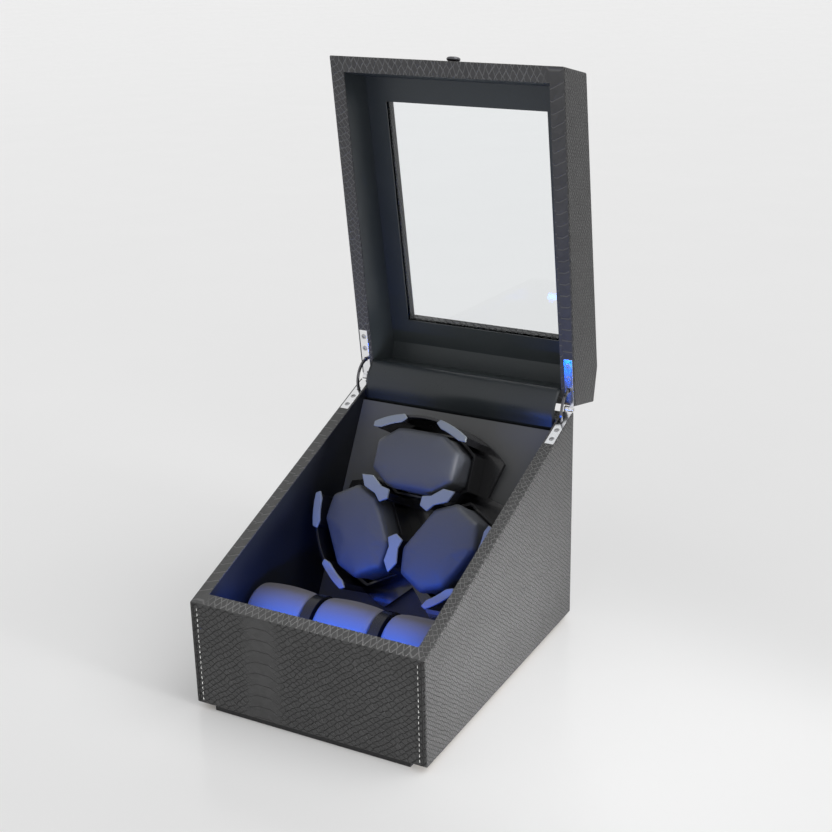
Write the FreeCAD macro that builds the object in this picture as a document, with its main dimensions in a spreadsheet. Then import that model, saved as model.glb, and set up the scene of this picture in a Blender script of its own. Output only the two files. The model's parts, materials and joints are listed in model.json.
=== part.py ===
import FreeCAD, Part
import math
import os
import re
import Sketcher

# A watch winder box with a sloping hinged lid, a three-cushion turntable and a storage row.
# Design frame of the carcass: x to the right from the middle, y back from the front face,
# z up from the underside of the walls. The finished frame has its origin under the middle of
# the box, on the surface it stands on.

SIZES = {
    # Carcass
    "width": 200.0,
    "depth": 260.0,
    "front_height": 86.0,
    "rim_slope": 20.0,
    "base_board": 8.5,
    "floor_board": 8.0,
    "leather": 1.0,
    "lining": 1.0,
    "plinth_height": 5.0,
    "plinth_side_inset": 15.0,
    "plinth_front_inset": 2.5,
    # How far a cutting tool reaches past the faces it opens
    "overshoot": 5.0,
    # Lid
    "lid_front": 46.0,
    "lid_back": 42.0,
    "flat_top": 30.0,
    "lid_board": 10.0,
    "top_board": 9.0,
    "rim_gap": 0.6,
    "lid_open": 103.0,
    "window_side_border": 30.0,
    "window_front_border": 29.4,
    "window_rear_border": 25.2,
    "glass_thickness": 3.0,
    "glass_overlap": 5.0,
    "glass_clearance": 0.2,
    "knob_radius": 5.5,
    "knob_head": 3.6,
    "knob_neck_radius": 3.0,
    "knob_neck": 1.5,
    "knob_height": 20.0,
    # Hinges
    "hinge_offset": 3.0,
    "hinge_edge": 1.5,
    "leaf_width": 7.5,
    "leaf_length": 44.0,
    "leaf_thickness": 1.5,
    "leaf_clearance": 0.1,
    "knuckle_radius": 2.5,
    "knuckle_gap": 0.3,
    "pin_radius": 1.2,
    "running_clearance": 0.05,
    "screw_radius": 1.3,
    "screw_head_radius": 2.3,
    "screw_head": 1.0,
    "screw_length": 8.0,
    "screw_first": 27.0,
    "screw_second": 38.0,
    "stay_radius": 18.0,
    "stay_width": 2.5,
    "stay_thickness": 1.5,
    "stay_overlap": 2.0,
    "stay_clearance": 0.5,
    "stay_slack": 3.0,
    "stay_rest": 10.0,
    "leaf_slot": 30.0,
    "flap_thickness": 1.2,
    # Winder panel and drive
    "panel_tilt": 60.0,
    "panel_board": 4.0,
    "panel_clearance": 0.3,
    "deck_share": 0.76923077,
    "panel_top_drop": 9.0937,
    "cleat": 9.0,
    "bush_radius": 6.0,
    "bush_flange_radius": 9.0,
    "bush_flange": 1.5,
    "bush_length": 7.0,
    "spindle_radius": 4.0,
    "spindle_tail": 3.0,
    "hub_radius": 12.0,
    "end_play": 0.5,
    "gear_module": 1.5,
    "gear_teeth": 40.0,
    "pinion_teeth": 16.0,
    "gear_width": 6.0,
    "gear_backlash": 0.35,
    "pinion_angle": 225.0,
    "pinion_overhang": 1.0,
    "clip_radius": 7.0,
    "clip_thickness": 1.0,
    "bracket_plate": 2.5,
    "bracket_gap": 3.0,
    "bracket_margin": 12.0,
    "post_radius": 3.5,
    "post_edge": 1.0,
    "gearbox_radius": 15.0,
    "gearbox_length": 13.0,
    "motor_radius": 12.0,
    "motor_length": 21.0,
    "motor_shaft_radius": 2.0,
    "shaft_seat": 8.0,
    # Turntable
    "turntable_lift": 5.0,
    "turntable_plate": 4.0,
    "turntable_margin": 9.5,
    "rotor_height": 60.0,
    "cushion_bevel": 4.0,
    "cushion_waist": 0.8,
    "cushion_crown": 1.2,
    "seat_clearance": 0.3,
    "cup_clearance": 0.6,
    "cup_wall": 1.8,
    "cup_height": 22.0,
    "grip_offset": 21.5,
    "grip_span": 23.0,
    "grip_pad": 2.5,
    "grip_tip": 0.45,
    "grip_inner_share": 0.62,
    "grip_outer_share": 0.85,
    "grip_end": 2.0,
    "grip_edge": 0.5,
    "fence_wall": 2.5,
    "fence_drop": 4.0,
    "inner_post_slim": 3.0,
    # Storage row
    "pillow_radius": 27.0,
    "pillow_end_gap": 0.25,
    "pillow_side_gap": 0.5,
    "pillow_forward": 134.0,
    "pillow_crown": 1.6,
    "pillow_round": 4.0,
    "pillow_dish": 1.5,
    "tray_lift": 9.7,
    "tray_board": 3.0,
    "tray_rail": 4.0,
    "tray_rail_height": 31.0,
    "tray_clearance": 0.4,
    "divider": 8.5,
    "divider_drop": 2.0,
    # Lights and controls
    "led_strip_margin": 20.0,
    "led_strip_height": 8.0,
    "led_strip_board": 1.2,
    "led_strip_drop": 12.0,
    "led_size": 5.0,
    "led_thickness": 1.6,
    "control_height": 105.0,
    "control_pitch": 30.0,
    "control_plate_length": 96.0,
    "control_plate_height": 34.0,
    "control_plate_thickness": 1.5,
    "control_board_thickness": 1.6,
    "control_depth": 8.0,
    "switch_body": 13.0,
    "mode_shaft_radius": 3.0,
    "mode_knob_radius": 9.0,
    "mode_knob_length": 11.0,
    "mode_knob_gap": 0.6,
    "pointer_width": 1.6,
    "pointer_stand": 0.8,
    "pointer_edge": 1.0,
    "button_radius": 4.0,
    "button_travel": 1.5,
    "button_stand": 3.0,
    "jack_radius": 5.5,
    "jack_flange_radius": 7.5,
    "jack_flange": 1.6,
    "jack_bore_radius": 3.2,
    "jack_bore": 9.0,
    "jack_pin_radius": 1.0,
    "lead_radius": 1.3,
    "lead_gap": 0.1,
    "lead_inset": 2.0,
    "lead_run": 25.0,
    "lead_shift": 8.0,
    "lead_back": 24.0,
    "lead_rise": 40.0,
    "lead_edge": 10.0,
    "lead_stand": 16.0,
    "lead_drop": 6.0,
}

# Rotor sizes on a turntable of the usual radius. They follow the room between the side walls.
ROTOR = {
    "turntable_radius": 80.0,
    "turntable_notch": 56.0,
    "cushion_orbit": 43.0,
    "cushion_length": 74.5,
    "cushion_width": 50.0,
    "cushion_corner_along": 16.3,
    "cushion_corner_across": 12.5,
    "grip_radius": 73.4,
    "grip_width": 6.6,
    "inner_grip_start": 17.0,
    "inner_grip_length": 31.5,
    "inner_grip_width": 11.4,
    "inner_grip_waist": 8.0,
    "inner_grip_head": 13.0,
}
SIZES.update({f"usual_{name}": size for name, size in ROTOR.items()})

# Values that follow from the driving dimensions, in the order they build on each other.
DERIVED = {
    "half_width": "width / 2",
    "half_depth": "depth / 2",
    "rim_tan": "tan(rim_slope)",
    "rim_cos": "cos(rim_slope)",
    "base_side": "leather + base_board",
    "base_wall": "base_side + lining",
    "rotor_scale": "(half_width - base_wall - turntable_margin) / usual_turntable_radius",
    **{name: f"usual_{name} * rotor_scale" for name in ROTOR},
    "leather_drop": "leather / rim_cos",
    "gap_drop": "rim_gap / rim_cos",
    "floor_top": "floor_board + lining",
    "lid_side": "leather + lid_board",
    "lid_wall": "lid_side + lining",
    "top_inner": "leather + top_board",
    "top_wall": "top_inner + lining",
    "rim_back": "front_height + depth * rim_tan",
    "lid_shoulder": "front_height + lid_front",
    "lid_top": "rim_back + lid_back",
    "flat_start": "depth - flat_top",
    "top_tan": "(lid_top - lid_shoulder) / flat_start",
    "top_cos": "1 / sqrt(1 + top_tan * top_tan)",
    "top_sin": "top_tan * top_cos",
    "window_width": "width - 2 * window_side_border",
    "window_start": "window_front_border",
    "window_end": "flat_start / top_cos - window_rear_border",
    "hinge_y": "depth + hinge_offset",
    "hinge_z": "front_height + hinge_y * rim_tan + gap_drop / 2",
    "hinge_x": "half_width - hinge_edge - leaf_width / 2",
    "lid_turn_y": "hinge_y - cos(lid_open) * hinge_y - sin(lid_open) * hinge_z",
    "lid_turn_z": "hinge_z + sin(lid_open) * hinge_y - cos(lid_open) * hinge_z",
    "stay_start": "180 + rim_slope - lid_open - stay_overlap",
    "stay_slot_span": "lid_open / 2 + stay_overlap + stay_slack + stay_rest",
    "back_inner": "depth - base_wall",
    "deck_y": "depth * deck_share",
    "panel_sin": "sin(panel_tilt)",
    "panel_cos": "cos(panel_tilt)",
    "panel_half": "half_width - base_wall - panel_clearance",
    "panel_top": "(depth - base_wall - panel_clearance - panel_board * panel_sin - deck_y) / panel_cos",
    "deck_height": "front_height + back_inner * rim_tan - panel_top_drop - panel_top * panel_sin",
    "panel_foot": "(deck_height - floor_top) / panel_sin",
    "gear_radius": "gear_module * gear_teeth / 2",
    "pinion_radius": "gear_module * pinion_teeth / 2",
    "gear_centres": "gear_radius + pinion_radius",
    "gear_top": "-(panel_board + bush_length + end_play)",
    "gear_bottom": "gear_top - gear_width",
    "bracket_top": "gear_bottom - clip_thickness - spindle_tail - bracket_gap",
    "bracket_bottom": "bracket_top - bracket_plate",
    "gearbox_bottom": "bracket_bottom - gearbox_length",
    "motor_bottom": "gearbox_bottom - motor_length",
    "pinion_x": "gear_centres * cos(pinion_angle)",
    "pinion_y": "gear_centres * sin(pinion_angle)",
    "plate_top": "turntable_lift + turntable_plate",
    "pad_bottom": "rotor_height - grip_pad",
    "grip_outer": "grip_radius + grip_width",
    "pillow_pitch": "(width - 2 * base_wall - 2 * pillow_end_gap) / 3",
    "pillow_length": "pillow_pitch - divider - 2 * pillow_side_gap",
    "pillow_back": "deck_y - pillow_forward",
    "pillow_height": "floor_top + tray_lift + tray_board + seat_clearance + pillow_radius",
    "pillow_seat": "floor_top + tray_lift + tray_board",
    "led_strip_length": "width - 2 * led_strip_margin",
    "board_y": "back_inner - control_depth",
    "plate_y": "depth + control_plate_thickness",
}

doc = FreeCAD.newDocument("watch_winder_box")
sheet = doc.addObject("Spreadsheet::Sheet", "Sizes")
for row, (name, value) in enumerate(SIZES.items(), start=1):
    sheet.set(f"A{row}", name)
    sheet.set(f"B{row}", str(value))
    sheet.setAlias(f"B{row}", name)
doc.recompute()
worked_out = doc.addObject("App::VarSet", "Derived")


def bound(text):
    """The expression with each plain name turned into its cell or worked-out value."""

    def owner(match):
        word = match.group(0)
        if word in SIZES:
            return f"<<Sizes>>.{word}"
        if word in DERIVED:
            return f"<<Derived>>.{word}"
        return word

    return re.sub(r"[a-z][a-z_]*", owner, str(text))


for name, text in DERIVED.items():
    worked_out.addProperty("App::PropertyFloat", name)
    worked_out.setExpression(name, bound(text))
doc.recompute()


def value(text):
    """The number an expression stands for now."""
    return float(sheet.evalExpression(bound(text)))


# Building blocks whose sizes stay bound to the sheet


def move(item, x=0, y=0, z=0, turn=0, axis=(1, 0, 0)):
    """Places an item at x, y, z, turned by so many degrees about an axis."""
    spin = "; ".join(str(part) for part in axis)
    place = "; ".join(bound(part) for part in (x, y, z))
    item.setExpression(
        "Placement",
        f"create(<<placement>>; create(<<vector>>; {place}); "
        f"create(<<rotation>>; create(<<vector>>; {spin}); {bound(turn)}))",
    )
    return item


def box(x, y, z, along_x, along_y, along_z):
    item = doc.addObject("Part::Box", "Block")
    item.setExpression("Length", bound(along_x))
    item.setExpression("Width", bound(along_y))
    item.setExpression("Height", bound(along_z))
    return move(item, x, y, z)


AXES = {"x": ((0, 1, 0), 90), "y": ((1, 0, 0), -90), "z": ((0, 0, 1), 0)}


def cylinder(radius, height, x=0, y=0, z=0, axis="z"):
    item = doc.addObject("Part::Cylinder", "Round")
    item.setExpression("Radius", bound(radius))
    item.setExpression("Height", bound(height))
    direction, turn = AXES[axis]
    return move(item, x, y, z, turn, direction)


def cone(low_radius, high_radius, height, x=0, y=0, z=0):
    item = doc.addObject("Part::Cone", "Taper")
    item.setExpression("Radius1", bound(low_radius))
    item.setExpression("Radius2", bound(high_radius))
    item.setExpression("Height", bound(height))
    return move(item, x, y, z)


def prism(points, low, length, plane="YZ_Plane"):
    """A body padded from a closed outline on one of its origin planes."""
    body = doc.addObject("PartDesign::Body", "Prism")
    sketch = body.newObject("Sketcher::SketchObject", "Outline")
    base = next(item for item in body.Origin.OriginFeatures if item.Role == plane)
    sketch.AttachmentSupport = [(base, "")]
    sketch.MapMode = "FlatFace"
    sketch.setExpression("AttachmentOffset.Base.z", bound(low))
    corners = [FreeCAD.Vector(value(u), value(v), 0) for u, v in points]
    count = len(corners)
    for index, corner in enumerate(corners):
        sketch.addGeometry(Part.LineSegment(corner, corners[(index + 1) % count]), False)
    for index in range(count):
        sketch.addConstraint(Sketcher.Constraint("Coincident", index, 2, (index + 1) % count, 1))
    for index, (u, v) in enumerate(points):
        for kind, text, start in (("DistanceX", u, "u"), ("DistanceY", v, "v")):
            number = sketch.addConstraint(Sketcher.Constraint(kind, -1, 1, index, 1, value(text)))
            sketch.renameConstraint(number, f"{start}{index}")
            sketch.setExpression(f"Constraints.{start}{index}", bound(text))
    pad = body.newObject("PartDesign::Pad", "Pad")
    pad.Profile = sketch
    pad.setExpression("Length", bound(length))
    return body


def fuse(*items):
    joined = doc.addObject("Part::MultiFuse", "Joined")
    joined.Shapes = list(items)
    return joined


def cut(item, *tools):
    for tool in tools:
        rest = doc.addObject("Part::Cut", "Rest")
        rest.Base = item
        rest.Tool = tool
        item = rest
    return item


def group(*items):
    gathered = doc.addObject("Part::Compound", "Group")
    gathered.Links = list(items)
    return gathered


def shaped(shape):
    item = doc.addObject("Part::Feature", "Shaped")
    item.Shape = shape
    return item


def sector(inner, outer, span, low, length, about="x"):
    """A ring sector about the x axis, from the y axis towards z, or about the z axis from x towards y."""
    solids = []
    for radius in (outer, inner):
        item = doc.addObject("Part::Cylinder", "Sector")
        item.setExpression("Radius", bound(radius))
        item.setExpression("Height", bound(length))
        item.setExpression("Angle", bound(span))
        if about == "x":
            move(item, low, 0, 0, 120, (1, 1, 1))
        else:
            move(item, 0, 0, low)
        solids.append(item)
    return cut(*solids)


FRAMES = {
    "base": ("-half_depth", "plinth_height", "0"),
    "lid": ("lid_turn_y - half_depth", "lid_turn_z + plinth_height", "-lid_open"),
    "deck": ("deck_y - half_depth", "deck_height + plinth_height", "panel_tilt"),
}
nodes = {}


def node(label, frame, *items):
    """One named piece, or one set of alike pieces, in the finished frame."""
    piece = group(*items)
    piece.Label = label
    y, z, turn = FRAMES[frame]
    move(piece, 0, y, z, turn)
    nodes[label] = piece


def mirrored(make):
    """The same item made on the left and on the right."""
    return [make(-1), make(1)]


# Outlines of the carcass


def rim(y):
    return f"(front_height + ({y}) * rim_tan)"


def base_outline(inset, low, drop):
    back = f"(depth - ({inset}))"
    return [
        (inset, low),
        (back, low),
        (back, f"{rim(back)} - ({drop})"),
        (inset, f"{rim(inset)} - ({drop})"),
    ]


def slope(y, below):
    return f"(lid_shoulder + ({y}) * top_tan - ({below}) / top_cos)"


def flat_corner(below):
    return (
        f"(lid_top - ({below}) - lid_shoulder + ({below}) / top_cos) / top_tan",
        f"lid_top - ({below})",
    )


def on_slope(along, below):
    return (
        f"({along}) * top_cos + ({below}) * top_sin",
        f"lid_shoulder + ({along}) * top_sin - ({below}) * top_cos",
    )


def lid_outline(inset, below, lift):
    back = f"(depth - ({inset}))"
    return [
        (inset, f"{rim(inset)} + {lift}"),
        (inset, slope(inset, below)),
        flat_corner(below),
        (back, f"lid_top - ({below})"),
        (back, f"{rim(back)} + {lift}"),
    ]


def window_outline(spread, top, bottom):
    start = f"window_start - ({spread})"
    end = f"window_end + ({spread})"
    return [on_slope(start, top), on_slope(end, top), on_slope(end, bottom), on_slope(start, bottom)]


def stay_slot(side, start):
    slot = sector(
        "stay_radius - stay_width - stay_clearance",
        "stay_radius + stay_clearance",
        "stay_slot_span",
        f"{side} * hinge_x - stay_thickness / 2 - stay_clearance",
        "stay_thickness + 2 * stay_clearance",
    )
    return move(slot, 0, "hinge_y", "hinge_z", start)


def leaf_recess(side, base):
    """Room for a hinge leaf in the rim of the base or of the lid."""
    room = box(
        f"{side} * hinge_x - leaf_width / 2 - leaf_clearance",
        "-leaf_length - leaf_clearance",
        f"{-1 if base else 1} * rim_gap / 2 - leaf_thickness",
        "leaf_width + 2 * leaf_clearance",
        "leaf_length + 2 * leaf_clearance",
        "2 * leaf_thickness",
    )
    return move(group(room), 0, "hinge_y", "hinge_z", "rim_slope")


def leaf_screw(side, along, extra, above):
    """A countersunk screw at a place along a hinge leaf, pointing into the wall."""
    turn = 0 if above else 180
    head = cone(
        f"screw_radius + {extra}",
        f"screw_head_radius + {extra}",
        "screw_head",
        0,
        0,
        "-screw_head",
    )
    shank = cylinder(
        f"screw_radius + {extra}",
        f"screw_length + {extra}",
        0,
        0,
        f"-screw_length - {extra}",
    )
    screw = move(group(fuse(head, shank)), f"{side} * hinge_x", f"-({along})", "0", turn)
    lifted = move(group(screw), 0, 0, "-rim_gap / 2" if above else "rim_gap / 2")
    return move(group(lifted), 0, "hinge_y", "hinge_z", "rim_slope")


SCREW_PLACES = ("screw_first", "screw_second")


def leaf_screws(extra, above):
    return [leaf_screw(side, along, extra, above) for side in (-1, 1) for along in SCREW_PLACES]


# Base of the box

control_places = {"jack": "-control_pitch", "knob": "0", "button": "control_pitch"}
control_radii = {"jack": "jack_radius", "knob": "mode_shaft_radius", "button": "button_radius"}


def control_holes(low, length):
    return [
        cylinder(f"{control_radii[name]} + running_clearance", length, x, low, "control_height", "y")
        for name, x in control_places.items()
    ]


node(
    "plinth_board",
    "base",
    box(
        "plinth_side_inset - half_width",
        "plinth_front_inset",
        "-plinth_height",
        "width - 2 * plinth_side_inset",
        "depth - 2 * plinth_front_inset",
        "plinth_height",
    ),
)
node(
    "base_floor_board",
    "base",
    box(
        "base_side - half_width",
        "base_side",
        0,
        "width - 2 * base_side",
        "depth - 2 * base_side",
        "floor_board",
    ),
)
node(
    "base_front_board",
    "base",
    prism(
        [
            ("leather", "0"),
            ("base_side", "0"),
            ("base_side", f"{rim('base_side')} - leather_drop"),
            ("leather", f"{rim('leather')} - leather_drop"),
        ],
        "base_side - half_width",
        "width - 2 * base_side",
    ),
)
back_board = prism(
    [
        ("depth - base_side", "0"),
        ("depth - leather", "0"),
        ("depth - leather", f"{rim('depth - leather')} - leather_drop"),
        ("depth - base_side", f"{rim('depth - base_side')} - leather_drop"),
    ],
    "base_side - half_width",
    "width - 2 * base_side",
)
node(
    "base_back_board",
    "base",
    cut(back_board, *control_holes("back_inner - overshoot", "base_wall + 2 * overshoot")),
)


def base_side_board(side):
    board = prism(
        base_outline("leather", "0", "leather_drop"),
        "leather - half_width" if side < 0 else "half_width - base_side",
        "base_board",
    )
    slot = stay_slot(side, "180 - stay_slack + rim_slope")
    screws = [leaf_screw(side, along, "running_clearance", True) for along in SCREW_PLACES]
    return cut(board, leaf_recess(side, True), slot, *screws)


node("base_side_boards", "base", *mirrored(base_side_board))

cover = cut(
    prism(base_outline("0", "0", "0"), "-half_width", "width"),
    prism(
        base_outline("leather", "-overshoot", "leather_drop"),
        "leather - half_width",
        "width - 2 * leather",
    ),
    prism(
        base_outline("base_wall", "-overshoot", "-overshoot"),
        "base_wall - half_width",
        "width - 2 * base_wall",
    ),
    *[leaf_recess(side, True) for side in (-1, 1)],
    *control_holes("back_inner - overshoot", "base_wall + 2 * overshoot"),
)
node("base_leather_cover", "base", cover)
lining = cut(
    prism(
        base_outline("base_side", "floor_board", "leather_drop"),
        "base_side - half_width",
        "width - 2 * base_side",
    ),
    prism(
        base_outline("base_wall", "floor_top", "-overshoot"),
        "base_wall - half_width",
        "width - 2 * base_wall",
    ),
    *control_holes("back_inner - overshoot", "base_wall + 2 * overshoot"),
)
node("base_lining", "base", lining)

# Tilted winder panel and its cleats

panel_face = [
    ("deck_y - panel_foot * panel_cos", "floor_top"),
    ("deck_y + panel_top * panel_cos", "deck_height + panel_top * panel_sin"),
    (
        "deck_y + panel_top * panel_cos + panel_board * panel_sin",
        "deck_height + panel_top * panel_sin - panel_board * panel_cos",
    ),
    ("deck_y - panel_foot * panel_cos + panel_board / panel_sin", "floor_top"),
]
spindle_hole = cylinder("bush_radius + running_clearance", "3 * panel_board", 0, 0, "-2 * panel_board")
lead_notch = box(
    "-panel_half + cleat",
    "-panel_foot - 2 * cleat",
    "-3 * panel_board",
    "4 * lead_radius",
    "2 * cleat + 6 * lead_radius",
    "6 * panel_board",
)


def on_deck(item):
    return move(group(item), 0, "deck_y", "deck_height", "panel_tilt")


panel = cut(
    prism(panel_face, "-panel_half", "2 * panel_half"),
    on_deck(spindle_hole),
    on_deck(lead_notch),
)
node("winder_panel", "base", panel)


def panel_cleat(side):
    return box(
        f"{side} * (panel_half + panel_clearance - cleat / 2) - cleat / 2",
        "cleat - panel_foot",
        "-panel_board - cleat",
        "cleat",
        "panel_foot + panel_top - 4 * cleat",
        "cleat",
    )


node("panel_cleats", "deck", *mirrored(panel_cleat))

# Drive behind the panel

bush = cut(
    fuse(
        cylinder("bush_flange_radius", "bush_flange"),
        cylinder("bush_radius", "panel_board + bush_length", 0, 0, "-panel_board - bush_length"),
    ),
    cylinder("spindle_radius + running_clearance", "4 * bush_length", 0, 0, "-2 * bush_length"),
)
node("spindle_bush", "deck", bush)

bracket_x = "pinion_x - gearbox_radius - bracket_margin"
bracket_y = "pinion_y - gearbox_radius - bracket_margin"
bracket_side = "2 * (gearbox_radius + bracket_margin)"
post_reach = "(gearbox_radius + bracket_margin - post_radius - post_edge)"
posts = [(-1, -1), (1, -1), (-1, 1)]


def at_posts(radius, height, low):
    return [
        cylinder(
            radius,
            height,
            f"pinion_x + {right} * {post_reach}",
            f"pinion_y + {up} * {post_reach}",
            low,
        )
        for right, up in posts
    ]


shaft_hole = cylinder(
    "2 * motor_shaft_radius",
    "4 * bracket_plate",
    "pinion_x",
    "pinion_y",
    "bracket_bottom - bracket_plate",
)
bracket = box(bracket_x, bracket_y, "bracket_bottom", bracket_side, bracket_side, "bracket_plate")
node("motor_bracket", "deck", cut(bracket, shaft_hole))
node("bracket_posts", "deck", *at_posts("post_radius", "-panel_board - bracket_top", "bracket_top"))
gearbox = cut(
    cylinder("gearbox_radius", "gearbox_length", "pinion_x", "pinion_y", "gearbox_bottom"),
    cylinder(
        "motor_shaft_radius + running_clearance",
        "2 * shaft_seat",
        "pinion_x",
        "pinion_y",
        "bracket_bottom - shaft_seat",
    ),
)
node("gearbox_housing", "deck", gearbox)
node(
    "motor_can",
    "deck",
    cylinder("motor_radius", "motor_length", "pinion_x", "pinion_y", "motor_bottom"),
)
motor_shaft = cylinder(
    "motor_shaft_radius",
    "gear_top - bracket_bottom + shaft_seat + pinion_overhang",
    "pinion_x",
    "pinion_y",
    "bracket_bottom - shaft_seat + end_play",
)
node("motor_shaft", "deck", motor_shaft)


def gear_shape(teeth, bore, height, first_tooth):
    """A spur gear with involute flanks, each drawn by three points, and room for backlash."""
    module = value("gear_module")
    pitch = module * teeth / 2
    pressure = math.radians(20)
    dedendum = 1.25
    addendum = 0.95
    base = pitch * math.cos(pressure)
    root = pitch - dedendum * module
    tip = pitch + addendum * module
    half_tooth = math.pi / (2 * teeth) - value("gear_backlash") / (2 * pitch)

    def roll(radius):
        angle = math.acos(min(1.0, base / max(radius, base)))
        return math.tan(angle) - angle

    low = max(base, root)
    radii = [low, (low + tip) / 2, tip]
    points = []
    for tooth in range(int(teeth)):
        middle = math.radians(first_tooth) + 2 * math.pi * tooth / teeth
        flank = [(r, half_tooth + roll(pitch) - roll(r)) for r in radii]
        if root < low:
            flank.insert(0, (root, flank[0][1]))
        corners = [(r, middle - a) for r, a in flank] + [(r, middle + a) for r, a in reversed(flank)]
        points += [FreeCAD.Vector(r * math.cos(a), r * math.sin(a), 0) for r, a in corners]
    outline = Part.Face(Part.makePolygon(points + points[:1]))
    hole = Part.makeCylinder(bore, height)
    return outline.extrude(FreeCAD.Vector(0, 0, height)).cut(hole)


gear = shaped(
    gear_shape(
        value("gear_teeth"),
        value("spindle_radius + running_clearance / 2"),
        value("gear_width"),
        value("pinion_angle"),
    )
)
node("turntable_gear", "deck", move(gear, 0, 0, "gear_bottom"))
pinion = shaped(
    gear_shape(
        value("pinion_teeth"),
        value("motor_shaft_radius + running_clearance / 2"),
        value("gear_width + pinion_overhang"),
        value("pinion_angle + 180 + 180 / pinion_teeth"),
    )
)
node("drive_pinion", "deck", move(pinion, "pinion_x", "pinion_y", "gear_bottom - pinion_overhang / 2"))

# Turntable, its cups and grips

spindle = fuse(
    cylinder(
        "spindle_radius",
        "turntable_lift - gear_bottom + clip_thickness + spindle_tail",
        0,
        0,
        "gear_bottom - clip_thickness - spindle_tail",
    ),
    cylinder("hub_radius", "turntable_lift - bush_flange - end_play", 0, 0, "bush_flange + end_play"),
)
node("turntable_spindle", "deck", spindle)
clip = cut(
    cylinder("clip_radius", "clip_thickness", 0, 0, "gear_bottom - clip_thickness"),
    cylinder(
        "spindle_radius + running_clearance / 2",
        "4 * clip_thickness",
        0,
        0,
        "gear_bottom - 2 * clip_thickness",
    ),
)
node("spindle_clip", "deck", clip)

CUSHION_ANGLES = (90, 210, 330)
GRIP_ANGLES = (30, 150, 270)


def turned(item, angle):
    return move(group(item), 0, 0, 0, angle, (0, 0, 1))


def notch(angle):
    corner = box(0, 0, 0, "turntable_radius", "turntable_radius", "2 * turntable_plate")
    tilted = move(
        group(corner),
        "turntable_notch",
        0,
        "turntable_lift - turntable_plate / 2",
        -45,
        (0, 0, 1),
    )
    return turned(tilted, angle)


def inner_grip(slim, low, height):
    """The outline between two cushions: a blunt head inside, a waist and a point outside."""
    head = f"inner_grip_head / 2 - {slim}"
    waist = f"inner_grip_waist / 2 - {slim}"
    wide = f"inner_grip_width / 2 - {slim}"
    start = "inner_grip_start"
    outline = [(start, "0")]
    places = [("0.13", head), ("0.36", waist), ("0.73", wide)]
    outline += [(f"{start} + {share} * inner_grip_length", f"-({half})") for share, half in places]
    outline += [(f"{start} + inner_grip_length", "0")]
    outline += [(f"{start} + {share} * inner_grip_length", half) for share, half in reversed(places)]
    return prism(outline, low, height, "XY_Plane")


plate = cylinder("turntable_radius", "turntable_plate", 0, 0, "turntable_lift")
plate = cut(plate, *[notch(angle) for angle in GRIP_ANGLES])
grip_posts = [
    turned(inner_grip("inner_post_slim", "plate_top", "pad_bottom - plate_top"), angle)
    for angle in GRIP_ANGLES
]
node("turntable_plate", "deck", fuse(plate, *grip_posts))


def octagon(grow):
    """The cushion's outline seen from above: radial along the first axis."""
    across = f"(cushion_width / 2 + {grow})"
    along = f"(cushion_length / 2 + {grow})"
    flat_across = f"({across} - cushion_corner_across)"
    flat_along = f"({along} - cushion_corner_along)"
    quarter = [(across, flat_along), (flat_across, along)]
    corners = quarter + [(f"-{a}", b) for a, b in reversed(quarter)]
    corners += [(f"-{a}", f"-{b}") for a, b in quarter] + [(a, f"-{b}") for a, b in reversed(quarter)]
    return [(f"cushion_orbit + {a}", b) for a, b in corners]


def rotor_cup(angle):
    inside = octagon("cup_clearance")
    ring = prism(octagon("cup_clearance + cup_wall"), "plate_top", "cup_height", "XY_Plane")
    fence_top = "rotor_height - fence_drop - plate_top"
    fence_span = "2 * grip_offset + grip_span - 2 * grip_end"
    fence = sector(
        "grip_outer - fence_wall",
        "grip_outer - grip_edge",
        fence_span,
        "plate_top",
        fence_top,
        "z",
    )
    walls = [move(group(fence), 0, 0, 0, f"-({fence_span}) / 2", (0, 0, 1))]
    for side in (-1, 1):
        post = sector(
            "grip_radius + grip_edge",
            "grip_outer - grip_edge",
            "grip_span - 2 * grip_end",
            "plate_top",
            "pad_bottom - plate_top",
            "z",
        )
        turn = f"{side} * grip_offset - grip_span / 2 + grip_end"
        walls.append(move(group(post), 0, 0, 0, turn, (0, 0, 1)))
    well = prism(inside, "plate_top - overshoot", "rotor_height", "XY_Plane")
    return turned(cut(fuse(ring, *walls), well), angle)


for number, angle in enumerate(CUSHION_ANGLES, start=1):
    node(f"rotor_cup_{number}", "deck", rotor_cup(angle))


def outer_pad(angle):
    """A crescent pad with pointed ends over an outer post."""
    steps = (-1, -0.5, 0, 0.5, 1)
    inner = [("grip_radius", f"{step} * grip_inner_share") for step in steps]
    outer = [("grip_outer", f"{step} * grip_outer_share") for step in reversed(steps)]
    tip = "grip_radius + grip_tip * grip_width"
    outline = []
    for radius, share in [*inner, (tip, "1"), *outer, (tip, "-1")]:
        away = f"({share}) * grip_span / 2"
        outline.append((f"({radius}) * cos({away})", f"({radius}) * sin({away})"))
    return turned(prism(outline, "pad_bottom", "grip_pad", "XY_Plane"), angle)


pads = [turned(inner_grip("0", "pad_bottom", "grip_pad"), angle) for angle in GRIP_ANGLES]
for angle in CUSHION_ANGLES:
    pads += [outer_pad(f"{angle} + grip_offset"), outer_pad(f"{angle} - grip_offset")]
node("grip_pads", "deck", *pads)


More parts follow.
